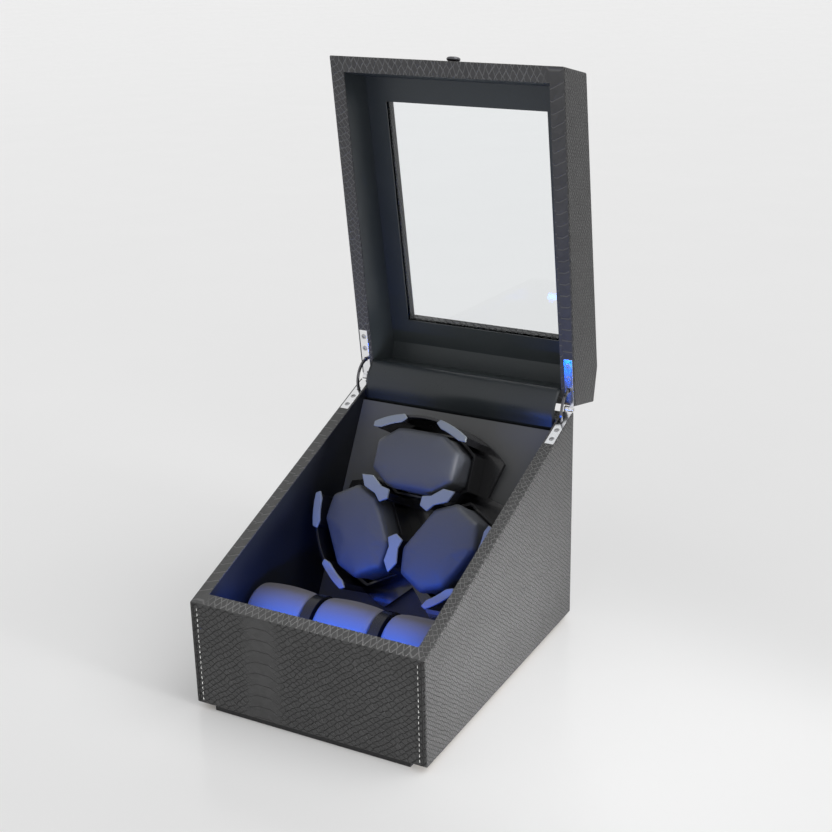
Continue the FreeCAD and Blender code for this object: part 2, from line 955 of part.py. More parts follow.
def cushion_shape():
    """A bevelled eight-sided cushion with drawn-in sides and a crowned top, standing on z = 0."""
    tall = value("rotor_height - plate_top - seat_clearance")
    bevel = value("cushion_bevel")
    waist = value("cushion_waist")
    crown = value("cushion_crown")
    sections = [
        (0, bevel / 2, 1),
        (bevel / 2, 0, 1),
        (tall / 2, waist, 1),
        (tall - crown - bevel, 0, 1),
        (tall - crown - bevel / 3, bevel / 3, 1),
        (tall - crown, bevel, 1),
        (tall - crown / 3, bevel, 0.8),
        (tall, bevel, 0.5),
    ]
    orbit = value("cushion_orbit")
    wires = []
    for height, inset, share in sections:
        outline = [(value(u) - orbit, value(v)) for u, v in octagon(f"(-{inset})")]
        corners = [FreeCAD.Vector(orbit + u * share, v * share, height) for u, v in outline]
        wires.append(Part.makePolygon(corners + corners[:1]))
    return Part.makeLoft(wires, True, True)


for number, angle in enumerate(CUSHION_ANGLES, start=1):
    cushion = move(shaped(cushion_shape()), 0, 0, "plate_top + seat_clearance")
    node(f"winder_cushion_{number}", "deck", turned(cushion, angle))

# Storage row in front of the turntable

tray_reach = "(pillow_radius + tray_clearance)"
node(
    "storage_tray_floor",
    "base",
    box(
        "-panel_half",
        f"pillow_back - {tray_reach}",
        "floor_top + tray_lift",
        "2 * panel_half",
        f"2 * {tray_reach}",
        "tray_board",
    ),
)
lead_left = "lead_radius + lead_inset - panel_half + cleat"
rail_half = f"(-({lead_left}) - lead_radius - 2 * seat_clearance)"


def storage_rail(low):
    return box(f"-{rail_half}", low, "floor_top", f"2 * {rail_half}", "tray_rail", "tray_rail_height")


node(
    "storage_rails",
    "base",
    storage_rail(f"pillow_back - {tray_reach} - tray_rail"),
    storage_rail(f"pillow_back + {tray_reach}"),
)


def storage_divider(side):
    low = f"{side} * pillow_pitch / 2 - divider / 2"
    radius = "(pillow_radius - divider_drop)"
    stem = box(
        low,
        f"pillow_back - {radius}",
        "pillow_seat",
        "divider",
        f"2 * {radius}",
        "pillow_height - pillow_seat",
    )
    crest = cylinder(radius, "divider", low, "pillow_back", "pillow_height", "x")
    under = box(
        low,
        f"pillow_back - 2 * {radius}",
        "pillow_seat - 2 * pillow_radius",
        "divider",
        f"4 * {radius}",
        "2 * pillow_radius",
    )
    return cut(fuse(stem, crest), under)


node("storage_dividers", "base", *mirrored(storage_divider))


def pillow_shape():
    """A barrel-crowned pillow about the x axis with rounded rims and slightly dished ends."""
    half = value("pillow_length / 2")
    radius = value("pillow_radius")
    edge = radius - value("pillow_crown")
    bend = value("pillow_round")
    dish = value("pillow_dish")
    slant = bend * (1 - math.sqrt(0.5))

    def at(x, r):
        return FreeCAD.Vector(x, r, 0)

    hollow = [at(dish - half, bend), at(dish / 4 - half, edge / 2), at(-half, edge - bend)]
    rim_arc = [at(-half, edge - bend), at(slant - half, edge - slant), at(bend - half, edge)]
    crest = [at(bend - half, edge), at(0, radius), at(half - bend, edge)]
    flip = [[at(-p.x, p.y) for p in reversed(points)] for points in (rim_arc, hollow)]
    arcs = [Part.Arc(*points).toShape() for points in (hollow, rim_arc, crest, *flip)]
    ends = [at(half - dish, bend), at(half - dish, 0), at(dish - half, 0), at(dish - half, bend)]
    lines = [Part.makeLine(first, second) for first, second in zip(ends, ends[1:])]
    face = Part.Face(Part.Wire(arcs + lines))
    return face.revolve(FreeCAD.Vector(0, 0, 0), FreeCAD.Vector(1, 0, 0), 360)


for number, place in enumerate((-1, 0, 1), start=1):
    pillow = move(shaped(pillow_shape()), f"{place} * pillow_pitch", "pillow_back", "pillow_height")
    node(f"storage_cushion_{number}", "base", pillow)

# Lights under the front rim

led_top = "front_height - led_strip_drop"
node(
    "led_strip_board",
    "base",
    box(
        "-led_strip_length / 2",
        "base_wall",
        f"{led_top} - led_strip_height",
        "led_strip_length",
        "led_strip_board",
        "led_strip_height",
    ),
)
LED_COUNT = 12
leds = [
    box(
        f"led_strip_length * ({index} + 0.5) / {LED_COUNT} - led_strip_length / 2 - led_size / 2",
        "base_wall + led_strip_board",
        f"{led_top} - led_strip_height / 2 - led_size / 2",
        "led_size",
        "led_thickness",
        "led_size",
    )
    for index in range(LED_COUNT)
]
node("led_emitters", "base", *leds)

# Controls on the back

back_plate = box(
    "-control_plate_length / 2",
    "depth",
    "control_height - control_plate_height / 2",
    "control_plate_length",
    "control_plate_thickness",
    "control_plate_height",
)
node(
    "control_plate",
    "base",
    cut(back_plate, *control_holes("depth - overshoot", "control_plate_thickness + 2 * overshoot")),
)
node(
    "control_board",
    "base",
    box(
        "-control_plate_length / 2",
        "board_y - control_board_thickness",
        "control_height - control_plate_height / 2",
        "control_plate_length",
        "control_board_thickness",
        "control_plate_height",
    ),
)
switch_block = box(
    "-switch_body / 2",
    "board_y",
    "control_height - switch_body / 2",
    "switch_body",
    "control_depth",
    "switch_body",
)
shaft_seat = cylinder(
    "mode_shaft_radius + running_clearance",
    "2 * control_depth",
    0,
    "board_y + control_depth / 2",
    "control_height",
    "y",
)
node("rotary_switch", "base", cut(switch_block, shaft_seat))
node(
    "light_switch",
    "base",
    box(
        "control_pitch - button_radius",
        "board_y",
        "control_height - button_radius",
        "2 * button_radius",
        "control_depth / 2 - button_travel - end_play",
        "2 * button_radius",
    ),
)
mode_knob = fuse(
    cylinder(
        "mode_shaft_radius",
        "plate_y + mode_knob_gap - board_y - control_depth / 2 - end_play",
        0,
        "board_y + control_depth / 2 + end_play",
        "control_height",
        "y",
    ),
    cylinder(
        "mode_knob_radius",
        "mode_knob_length",
        0,
        "plate_y + mode_knob_gap",
        "control_height",
        "y",
    ),
    box(
        "-pointer_width / 2",
        "plate_y + mode_knob_gap",
        "control_height",
        "pointer_width",
        "mode_knob_length + pointer_stand",
        "mode_knob_radius - pointer_edge",
    ),
)
node("mode_knob", "base", mode_knob)
button_seat = "board_y + control_depth / 2"
node(
    "light_button",
    "base",
    cylinder(
        "button_radius",
        f"plate_y + button_stand - ({button_seat})",
        "control_pitch",
        button_seat,
        "control_height",
        "y",
    ),
)
jack = fuse(
    cylinder("jack_radius", "plate_y - board_y", "-control_pitch", "board_y", "control_height", "y"),
    cylinder("jack_flange_radius", "jack_flange", "-control_pitch", "plate_y", "control_height", "y"),
)
jack_bore = cylinder(
    "jack_bore_radius",
    "2 * jack_bore",
    "-control_pitch",
    "plate_y + jack_flange - jack_bore",
    "control_height",
    "y",
)
jack_pin = cylinder(
    "jack_pin_radius",
    "jack_bore",
    "-control_pitch",
    "plate_y - jack_bore",
    "control_height",
    "y",
)
node("dc_jack", "base", fuse(cut(jack, jack_bore), jack_pin))


def lead_shape(points):
    """A round lead along straight runs with wide tangent bends at the points between."""
    radius = value("lead_radius")
    places = [FreeCAD.Vector(*[value(part) for part in point]) for point in points]
    edges = []
    start = places[0]
    for before, corner, after in zip(places, places[1:], places[2:]):
        arrive = (corner - before).normalize()
        leave = (after - corner).normalize()
        turn = arrive.getAngle(leave)
        reach = 0.45 * min((corner - before).Length, (after - corner).Length)
        bend = reach / math.tan(turn / 2)
        entry = corner - arrive * reach
        leaving = corner + leave * reach
        inward = (leave - arrive).normalize()
        centre = corner + inward * (bend / math.cos(turn / 2))
        edges.append(Part.makeLine(start, entry))
        edges.append(Part.Arc(entry, centre - inward * bend, leaving).toShape())
        start = leaving
    edges.append(Part.makeLine(start, places[-1]))
    path = Part.Wire(edges)
    ring = Part.Wire(Part.Circle(places[0], places[1] - places[0], radius).toShape())
    tube = path.makePipeShell([ring], True, False)
    wanted = math.pi * radius**2 * path.Length
    print(
        "lead",
        round(path.Length, 1),
        "mm, volume over section times length",
        round(tube.Volume / wanted, 4),
    )
    return tube


lead_floor = "floor_top + lead_radius + lead_gap"
led_end = "lead_radius + base_wall + lead_gap"
lead_end_x = "lead_edge - control_plate_length / 2"
lead_end_z = "control_height - lead_drop"
led_route = [
    (lead_left, led_end, f"{led_top} - led_strip_height"),
    (lead_left, led_end, lead_floor),
    (lead_left, "deck_y - panel_foot * panel_cos + lead_run", lead_floor),
    (f"{lead_left} + lead_shift", "board_y - lead_back", "control_height - lead_rise"),
    (lead_end_x, "board_y - lead_stand", lead_end_z),
    (lead_end_x, "board_y - control_board_thickness", lead_end_z),
]
node("led_lead", "base", shaped(lead_shape(led_route)))

# Hinges, their pins, screws and stays


def leaf(side, base):
    """A leaf on the rim with its half of the knuckle and a slot for the stay."""
    low_x = f"{side} * hinge_x - leaf_width / 2"
    near = "2 * knuckle_radius"
    thick = "leaf_thickness"
    low = "-rim_gap / 2 - leaf_thickness" if base else "rim_gap / 2"
    plate = box(low_x, "-leaf_length", low, "leaf_width", f"leaf_length - {near}", thick)
    half = "(leaf_width - knuckle_gap) / 2"
    inner = base if side > 0 else not base
    start = low_x if inner else f"{low_x} + {half} + knuckle_gap"
    tongue = box(start, f"-{near} - 1", low, half, f"{near} + 1", thick)
    knuckle = cylinder("knuckle_radius", half, start, 0, 0, "x")
    bore = cylinder("pin_radius + running_clearance", f"{half} + 2", f"{start} - 1", 0, 0, "x")
    slot = sector(
        "stay_radius - stay_width - stay_clearance",
        "stay_radius + stay_clearance",
        "leaf_slot",
        f"{side} * hinge_x - stay_thickness / 2 - stay_clearance",
        "stay_thickness + 2 * stay_clearance",
    )
    made = cut(fuse(plate, tongue, knuckle), bore, move(slot, 0, 0, 0, "180 - leaf_slot / 2"))
    placed = move(group(made), 0, "hinge_y", "hinge_z", "rim_slope")
    return cut(placed, *[leaf_screw(side, along, "running_clearance", base) for along in SCREW_PLACES])


node("hinge_base_leaves", "base", leaf(-1, True), leaf(1, True))
node("hinge_lid_leaves", "lid", leaf(-1, False), leaf(1, False))
node("hinge_base_screws", "base", *leaf_screws("0", True))
node("hinge_lid_screws", "lid", *leaf_screws("0", False))
pins = [
    cylinder("pin_radius", "leaf_width", f"{side} * hinge_x - leaf_width / 2", "hinge_y", "hinge_z", "x")
    for side in (-1, 1)
]
node("hinge_pins", "base", *pins)


def stay_arm(side):
    arm = sector(
        "stay_radius - stay_width",
        "stay_radius",
        "lid_open + 2 * stay_overlap",
        f"{side} * hinge_x - stay_thickness / 2",
        "stay_thickness",
    )
    return move(arm, 0, "hinge_y", "hinge_z", "stay_start")


node("stay_arms", "base", *mirrored(stay_arm))

# Lid, made closed and then swung open about the hinge

lift = "(gap_drop + leather_drop)"


def lid_side_board(side):
    board = prism(
        lid_outline("leather", "leather", lift),
        "leather - half_width" if side < 0 else "half_width - lid_side",
        "lid_board",
    )
    slot = stay_slot(side, "180 + stay_slack + rim_slope - stay_slot_span")
    screws = [leaf_screw(side, along, "running_clearance", False) for along in SCREW_PLACES]
    return cut(board, leaf_recess(side, False), slot, *screws)


node("lid_side_boards", "lid", *mirrored(lid_side_board))
lid_inner_x = "lid_side - half_width"
lid_inner_width = "width - 2 * lid_side"
neck_hole = cylinder(
    "knob_neck_radius + running_clearance",
    "lid_side + 2 * overshoot",
    0,
    "-overshoot",
    f"{rim('0')} + knob_height",
    "y",
)
front_board = prism(
    [
        ("leather", f"{rim('leather')} + {lift}"),
        ("lid_side", f"{rim('lid_side')} + {lift}"),
        ("lid_side", slope("lid_side", "leather")),
        ("leather", slope("leather", "leather")),
    ],
    lid_inner_x,
    lid_inner_width,
)
node("lid_front_board", "lid", cut(front_board, neck_hole))
lid_back_inner = "(depth - lid_side)"
back_wall = prism(
    [
        (lid_back_inner, f"{rim(lid_back_inner)} + {lift}"),
        ("depth - leather", f"{rim('depth - leather')} + {lift}"),
        ("depth - leather", "lid_top - leather"),
        (lid_back_inner, "lid_top - leather"),
    ],
    lid_inner_x,
    lid_inner_width,
)
node("lid_back_board", "lid", back_wall)
flat_board = prism(
    [
        flat_corner("leather"),
        (lid_back_inner, "lid_top - leather"),
        (lid_back_inner, "lid_top - top_inner"),
        flat_corner("top_inner"),
    ],
    lid_inner_x,
    lid_inner_width,
)
node("lid_flat_board", "lid", flat_board)

pane_top = "(top_inner - glass_thickness)"
pane_room = prism(
    window_outline(
        "glass_overlap + glass_clearance",
        f"{pane_top} - glass_clearance",
        "top_inner + overshoot",
    ),
    "-window_width / 2 - glass_overlap - glass_clearance",
    "window_width + 2 * (glass_overlap + glass_clearance)",
)
rail_start = "window_start - leather"
rail_end = "window_end + leather"
front_rail = prism(
    [
        ("lid_side", slope("lid_side", "leather")),
        on_slope(rail_start, "leather"),
        on_slope(rail_start, "top_inner"),
        ("lid_side", slope("lid_side", "top_inner")),
    ],
    lid_inner_x,
    lid_inner_width,
)
rear_rail = prism(
    [
        on_slope(rail_end, "leather"),
        flat_corner("leather"),
        flat_corner("top_inner"),
        on_slope(rail_end, "top_inner"),
    ],
    lid_inner_x,
    lid_inner_width,
)
node("window_cross_rails", "lid", cut(front_rail, pane_room), cut(rear_rail, pane_room))


def window_side_rail(side):
    rail = prism(
        [
            on_slope(rail_start, "leather"),
            on_slope(rail_end, "leather"),
            on_slope(rail_end, "top_inner"),
            on_slope(rail_start, "top_inner"),
        ],
        lid_inner_x if side < 0 else "window_width / 2 + leather",
        "half_width - lid_side - window_width / 2 - leather",
    )
    return cut(rail, pane_room)


node("window_side_rails", "lid", *mirrored(window_side_rail))
pane = prism(
    window_outline("glass_overlap", pane_top, "top_inner"),
    "-window_width / 2 - glass_overlap",
    "window_width + 2 * glass_overlap",
)
node("window_glass", "lid", pane)

sleeve = prism(
    window_outline("leather", "leather / 2", f"{pane_top} - glass_clearance"),
    "-window_width / 2 - leather",
    "window_width + 2 * leather",
)
lid_shell = cut(
    prism(lid_outline("0", "0", "gap_drop"), "-half_width", "width"),
    prism(lid_outline("leather", "leather", lift), "leather - half_width", "width - 2 * leather"),
    prism(
        lid_outline("lid_wall", "top_wall", "(-overshoot)"),
        "lid_wall - half_width",
        "width - 2 * lid_wall",
    ),
)
window_room = prism(
    window_outline("0", "-overshoot", "top_wall + overshoot"),
    "-window_width / 2",
    "window_width",
)
lid_cover = cut(
    fuse(lid_shell, sleeve),
    window_room,
    *[leaf_recess(side, False) for side in (-1, 1)],
    neck_hole,
)
node("lid_leather_cover", "lid", lid_cover)
lid_inside = cut(
    prism(lid_outline("lid_side", "top_inner", lift), lid_inner_x, lid_inner_width),
    prism(
        lid_outline("lid_wall", "top_wall", "(-overshoot)"),
        "lid_wall - half_width",
        "width - 2 * lid_wall",
    ),
    prism(
        window_outline("leather", "-overshoot", "top_wall + overshoot"),
        "-window_width / 2 - leather",
        "window_width + 2 * leather",
    ),
)
node("lid_lining", "lid", lid_inside)

knob_z = f"{rim('0')} + knob_height"
knob = fuse(
    cylinder("knob_neck_radius", "lid_side + knob_neck", 0, "-knob_neck", knob_z, "y"),
    cylinder("knob_radius", "knob_head", 0, "-knob_neck - knob_head", knob_z, "y"),
)
node("lid_knob", "lid", knob)

# Soft flap that covers the hinge line from the base to the lid


def flap_shape():
    """A thin sheet from the back wall of the base, bulging over the rim, up to the edge of the lid."""
    thick = value("flap_thickness")
    inner = value("back_inner")
    rim_z = value(rim("back_inner"))
    pivot = FreeCAD.Vector(0, value("hinge_y"), value("hinge_z"))
    open_way = math.radians(180 + value("rim_slope") - value("lid_open"))
    along = FreeCAD.Vector(0, math.cos(open_way), math.sin(open_way))
    forward = FreeCAD.Vector(0, -math.sin(open_way), math.cos(open_way))
    gap = value("seat_clearance + rim_gap / 2")
    lean = 1.2
    reach = 3.2
    half = value("half_width - lid_wall - seat_clearance")

    def sheet_points(offset):
        low = FreeCAD.Vector(
            0,
            inner - offset,
            value("deck_height + panel_top * panel_sin + seat_clearance"),
        )
        edge = FreeCAD.Vector(0, inner - offset, rim_z)
        bulge = pivot + (along + forward * lean).normalize() * (value("knuckle_radius") * reach + offset)
        end = pivot + along * value("lid_wall") + forward * (gap + offset)
        return low, edge, bulge, end

    near = sheet_points(0.0)
    far = sheet_points(thick)
    edges = []
    for low, edge, bulge, end in (near, far):
        edges.append([Part.makeLine(low, edge), Part.Arc(edge, bulge, end).toShape()])
    outline = edges[0] + [Part.makeLine(near[3], far[3])] + edges[1] + [Part.makeLine(near[0], far[0])]
    face = Part.Face(Part.Wire(Part.__sortEdges__(outline)))
    solid = face.extrude(FreeCAD.Vector(2 * half, 0, 0))
    solid.translate(FreeCAD.Vector(-half, 0, 0))
    return solid


node("hinge_flap", "base", shaped(flap_shape()))

doc.recompute()
for item in doc.Objects:
    for word in ("Invalid", "Error"):
        if word in item.State:
            raise RuntimeError(f"{item.Label} is {item.State}")
for label, piece in nodes.items():
    shape = piece.Shape
    if shape.isNull() or not shape.isValid() or not shape.Solids:
        raise RuntimeError(f"{label} has no valid solid")
os.makedirs("parts", exist_ok=True)
for label, piece in nodes.items():
    piece.Shape.exportStep(f"parts/{label}.step")
print(len(nodes), "pieces written")
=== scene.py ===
import json
import math

import bmesh
import bpy
from mathutils import Matrix, Vector


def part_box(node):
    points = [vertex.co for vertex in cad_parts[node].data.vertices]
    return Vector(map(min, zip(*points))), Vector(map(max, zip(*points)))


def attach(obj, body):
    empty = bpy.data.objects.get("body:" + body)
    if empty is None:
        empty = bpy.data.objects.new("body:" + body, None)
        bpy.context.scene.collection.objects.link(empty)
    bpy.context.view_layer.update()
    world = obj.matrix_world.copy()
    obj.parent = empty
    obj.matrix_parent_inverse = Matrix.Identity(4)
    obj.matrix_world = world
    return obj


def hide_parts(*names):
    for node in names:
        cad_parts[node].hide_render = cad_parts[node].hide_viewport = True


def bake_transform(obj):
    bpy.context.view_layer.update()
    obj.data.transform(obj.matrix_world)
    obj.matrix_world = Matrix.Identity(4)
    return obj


# Looks for a watch winder box with an open windowed lid. All lengths are in metres.

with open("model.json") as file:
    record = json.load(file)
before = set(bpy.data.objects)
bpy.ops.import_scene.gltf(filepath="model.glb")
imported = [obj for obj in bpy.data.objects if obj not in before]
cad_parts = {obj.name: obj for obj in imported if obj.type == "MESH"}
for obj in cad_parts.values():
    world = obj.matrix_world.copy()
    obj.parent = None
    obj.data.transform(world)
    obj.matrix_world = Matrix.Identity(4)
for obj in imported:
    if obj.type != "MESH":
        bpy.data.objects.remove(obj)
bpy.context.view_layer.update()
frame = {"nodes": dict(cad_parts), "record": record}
scene = bpy.context.scene
nodes = frame["nodes"]

HALF_WIDTH = 0.100
FRONT = -0.130
BACK = 0.130
UNDERSIDE = 0.005
FRONT_TOP = 0.091
RIM_SLOPE = math.radians(20)
RIM_GAP = 0.0006
HINGE = Vector((0, 0.133, 0.187043))
LID_OPEN = math.radians(103)

# Camera at the photograph's place and angle

CAMERA_PLACE = Vector((0.5257, -0.9087, 0.6089))
CAMERA_AZIMUTH = math.radians(28.8236)
CAMERA_ELEVATION = math.radians(20.7692)
CAMERA_ROLL = math.radians(-1.26525)

camera_data = bpy.data.cameras.new("camera")
camera_data.sensor_width = 36.0
camera_data.lens = 63.74
camera = bpy.data.objects.new("camera", camera_data)
scene.collection.objects.link(camera)
back = Vector(
    (
        math.sin(CAMERA_AZIMUTH) * math.cos(CAMERA_ELEVATION),
        -math.cos(CAMERA_AZIMUTH) * math.cos(CAMERA_ELEVATION),
        math.sin(CAMERA_ELEVATION),
    )
)
right = (-back).cross(Vector((0, 0, 1))).normalized()
up = right.cross(-back)
level = math.cos(CAMERA_ROLL) * right + math.sin(CAMERA_ROLL) * up
upright = -math.sin(CAMERA_ROLL) * right + math.cos(CAMERA_ROLL) * up
turn = Matrix((level, upright, back)).transposed()
camera.matrix_world = Matrix.Translation(CAMERA_PLACE) @ turn.to_4x4()
scene.camera = camera
scene.view_settings.view_transform = "Standard"


# Material graphs


class Graph:
    """A material with short calls for adding and linking its nodes."""

    def __init__(self, name, **shader):
        self.material = bpy.data.materials.new(name)
        self.material.use_nodes = True
        self.tree = self.material.node_tree
        self.shader = self.tree.nodes["Principled BSDF"]
        for key, value in shader.items():
            self.put(self.shader.inputs[key.replace("_", " ")], value)

    def put(self, socket, value):
        if isinstance(value, bpy.types.NodeSocket):
            self.tree.links.new(value, socket)
        elif hasattr(value, "__len__") and len(value) == 3 and len(socket.default_value) == 4:
            socket.default_value = (*value, 1)
        else:
            socket.default_value = value

    def add(self, kind, settings, inputs, output=0):
        node = self.tree.nodes.new("ShaderNode" + kind)
        for key, value in settings.items():
            setattr(node, key, value)
        for key, value in inputs.items():
            self.put(node.inputs[key], value)
        return node.outputs[output]

    def math(self, operation, *values):
        return self.add("Math", {"operation": operation}, dict(enumerate(values)))

    def spread(self, value, low, high, to_low=0.0, to_high=1.0):
        inputs = {"Value": value, "From Min": low, "From Max": high, "To Min": to_low, "To Max": to_high}
        return self.add("MapRange", {"interpolation_type": "SMOOTHSTEP"}, inputs)

    def mix(self, share, first, second):
        return self.add("Mix", {"data_type": "RGBA"}, {"Factor": share, 6: first, 7: second}, 2)

    def blend(self, share, first, second):
        return self.add("Mix", {}, {"Factor": share, 2: first, 3: second})

    def place(self):
        return self.add("TexCoord", {}, {}, "Object")

    def noise(self, vector, scale, detail=3.0, roughness=0.5):
        inputs = {"Vector": vector, "Scale": scale, "Detail": detail, "Roughness": roughness}
        return self.add("TexNoise", {}, inputs)

    def bump(self, height, distance, strength=1.0):
        inputs = {"Height": height, "Distance": distance, "Strength": strength}
        self.put(self.shader.inputs["Normal"], self.add("Bump", {}, inputs))


# Embossed leather, in metres of the skin map and in cells per metre

WANDER_SCALE = 60.0
WANDER_WIDTH = 0.006
BELLY_OUTER = 0.022
BELLY_INNER = 0.006
SCALE_DENSITY = 150.0
SCALE_STRETCH = 1.25
SCALE_RANDOM = 0.28
SCALE_GROOVE = 0.16
PLATE_LENGTH = 0.0095
PLATE_ARCH = 0.45
PLATE_CROWN = 0.006
PLATE_GROOVE = 0.09
PLATE_LOW = 0.42
LEATHER_GRAIN = 1400.0
LEATHER_BROAD = 22.0


def python_leather(name, groove, dark, pale, relief_depth):
    """Embossed leather: wide belly plates at u = 0 of the skin map, and diamond scales beside them."""
    graph = Graph(name, Specular_IOR_Level=0.45, Sheen_Weight=0.05)
    skin = graph.add("UVMap", {"uv_map": "skin"}, {})
    split = graph.tree.nodes.new("ShaderNodeSeparateXYZ")
    graph.put(split.inputs[0], skin)
    u, v = split.outputs[0], split.outputs[1]
    sway = graph.math("SUBTRACT", graph.noise(skin, WANDER_SCALE), 0.5)
    wander = graph.math("MULTIPLY", sway, WANDER_WIDTH)
    off_belly = graph.math("ABSOLUTE", graph.math("ADD", u, wander))
    belly = graph.spread(off_belly, BELLY_OUTER, BELLY_INNER)
    stretched = graph.math("MULTIPLY", graph.math("ADD", v, wander), SCALE_STRETCH)
    rising = graph.math("MULTIPLY", graph.math("ADD", u, stretched), SCALE_DENSITY)
    falling = graph.math("MULTIPLY", graph.math("SUBTRACT", u, stretched), SCALE_DENSITY)
    lattice = graph.add("CombineXYZ", {}, {0: rising, 1: falling})

    def cells(feature, output):
        settings = {"voronoi_dimensions": "2D", "feature": feature}
        inputs = {"Vector": lattice, "Scale": 1.0, "Randomness": SCALE_RANDOM}
        return graph.add("TexVoronoi", settings, inputs, output)

    crown = graph.math("MAXIMUM", off_belly, PLATE_CROWN)
    arched = graph.math("ADD", v, graph.math("MULTIPLY", crown, PLATE_ARCH))
    plate_along = graph.math("DIVIDE", arched, PLATE_LENGTH)
    scale_edge = graph.spread(cells("DISTANCE_TO_EDGE", "Distance"), 0.0, SCALE_GROOVE)
    plate_edge = graph.spread(graph.math("PINGPONG", plate_along, 0.5), 0.0, PLATE_GROOVE, PLATE_LOW)
    height = graph.blend(belly, scale_edge, plate_edge)
    tint = graph.add("SeparateColor", {}, {0: cells("F1", "Color")})
    grain = graph.noise(skin, LEATHER_GRAIN, 4.0, 0.6)
    broad = graph.noise(skin, LEATHER_BROAD, 2.0)
    shade = graph.math("ADD", graph.math("MULTIPLY", tint, 0.25), graph.math("MULTIPLY", broad, 0.5))
    # Scale edges take the first colour: a dark groove tone on the front and side leather, and a pale
    # painted highlight on the rim leather
    groove_tone_and_painted_highlight = graph.mix(height, groove, graph.mix(graph.math("ADD", shade, 0.25), dark, pale))
    graph.put(graph.shader.inputs["Base Color"], groove_tone_and_painted_highlight)
    polish = graph.spread(height, 0.0, 1.0, 0.5, 0.36)
    rough = graph.math("ADD", graph.math("MULTIPLY", grain, 0.2), polish)
    graph.put(graph.shader.inputs["Roughness"], rough)
    relief = graph.math("ADD", height, graph.math("MULTIPLY", grain, 0.25))
    graph.bump(relief, relief_depth)
    return graph.material


GLOSS_SPREAD = 0.07


def grained(name, dark, pale, rough, grain_scale, depth, **shader):
    """A surface with a fine grain in its colour, gloss and relief."""
    graph = Graph(name, **shader)
    place = graph.place()
    grain = graph.noise(place, grain_scale, 4.0, 0.6)
    broad = graph.noise(place, 35.0, 2.0)
    share = graph.math("ADD", graph.math("MULTIPLY", grain, 0.6), graph.math("MULTIPLY", broad, 0.4))
    graph.put(graph.shader.inputs["Base Color"], graph.mix(share, dark, pale))
    gloss = graph.spread(share, 0.2, 0.8, rough - GLOSS_SPREAD, rough + GLOSS_SPREAD)
    graph.put(graph.shader.inputs["Roughness"], gloss)
    graph.bump(grain, depth)
    return graph.material


def metal(name, dark, pale, rough):
    """Metal with faint polishing lines and smudges."""
    graph = Graph(name, Metallic=1.0)
    place = graph.place()
    lines = graph.noise(graph.add("Mapping", {}, {0: place, 3: (90.0, 1500.0, 1500.0)}), 1.0, 3.0)
    smudge = graph.noise(place, 120.0, 3.0)
    graph.put(graph.shader.inputs["Base Color"], graph.mix(smudge, dark, pale))
    graph.put(graph.shader.inputs["Roughness"], graph.spread(smudge, 0.3, 0.8, rough, rough + 0.08))
    graph.bump(lines, 0.00001, 0.4)
    return graph.material


THREAD_SCALE = 420.0


def woven(name, dark, pale):
    """A satin cloth with a fine thread in both directions."""
    graph = Graph(name, Sheen_Weight=0.15, Sheen_Roughness=0.4)
    place = graph.place()
    threads = {"Vector": place, "Scale": THREAD_SCALE, "Distortion": 0.6}
    waves = [graph.add("TexWave", {"bands_direction": way}, threads) for way in ("X", "Z")]
    weave = graph.math("MULTIPLY", *waves)
    broad = graph.noise(place, 60.0, 4.0)
    share = graph.math("ADD", graph.math("MULTIPLY", weave, 0.4), graph.math("MULTIPLY", broad, 0.6))
    graph.put(graph.shader.inputs["Base Color"], graph.mix(share, dark, pale))
    graph.put(graph.shader.inputs["Roughness"], graph.spread(broad, 0.2, 0.8, 0.5, 0.68))
    graph.bump(weave, 0.00006)
    return graph.material


def boarded(name, dark, pale):
    """Fibreboard with short pressed fibres."""
    graph = Graph(name, Specular_IOR_Level=0.2)
    place = graph.place()
    fibre = graph.noise(graph.add("Mapping", {}, {0: place, 3: (900.0, 350.0, 900.0)}), 1.0, 5.0, 0.7)
    graph.put(graph.shader.inputs["Base Color"], graph.mix(fibre, dark, pale))
    graph.put(graph.shader.inputs["Roughness"], graph.spread(fibre, 0.2, 0.8, 0.75, 0.9))
    graph.bump(fibre, 0.00008)
    return graph.material


def lit(name, colour, strength):
    """A small lens that glows most at its middle grain."""
    graph = Graph(name, Base_Color=(0.2, 0.4, 0.9), Roughness=0.25, Emission_Color=colour)
    glow = graph.noise(graph.place(), 900.0, 2.0)
    level = graph.spread(glow, 0.2, 0.8, strength * 0.7, strength)
    graph.put(graph.shader.inputs["Emission Strength"], level)
    return graph.material


def glazed(name):
    """A clear pane with the faintest of smears."""
    graph = Graph(name, Base_Color=(0.97, 0.99, 1.0), Transmission_Weight=1.0, IOR=1.3)
    smear = graph.noise(graph.place(), 18.0, 3.0)
    graph.put(graph.shader.inputs["Roughness"], graph.spread(smear, 0.4, 0.8, 0.0, 0.015))
    return graph.material


LEATHER = python_leather(
    "embossed_leather", (0.012, 0.012, 0.012), (0.028, 0.028, 0.028), (0.074, 0.074, 0.075), 0.0008
)
# Side leather: a lighter copy of the leather for the side faces, painted light from the right
LIT_SIDE_LEATHER = python_leather(
    "lit_side_leather", (0.008, 0.008, 0.008), (0.034, 0.034, 0.034), (0.092, 0.092, 0.093), 0.0009
)
# Rim leather: a lighter copy of the leather for the top faces, painted light from above, with pale scale
# edges that are painted highlights
LIT_RIM_LEATHER = python_leather(
    "rim_leather_painted_highlight", (0.210, 0.210, 0.210), (0.030, 0.030, 0.030), (0.090, 0.090, 0.090), 0.0007
)
# The lining colour is lightened to stand in for the lit sheen on the lid's inner walls: painted light
LINING = grained(
    "smooth_lining",
    (0.038, 0.046, 0.050),
    (0.062, 0.073, 0.079),
    0.38,
    700.0,
    0.00004,
    Specular_IOR_Level=0.4,
)
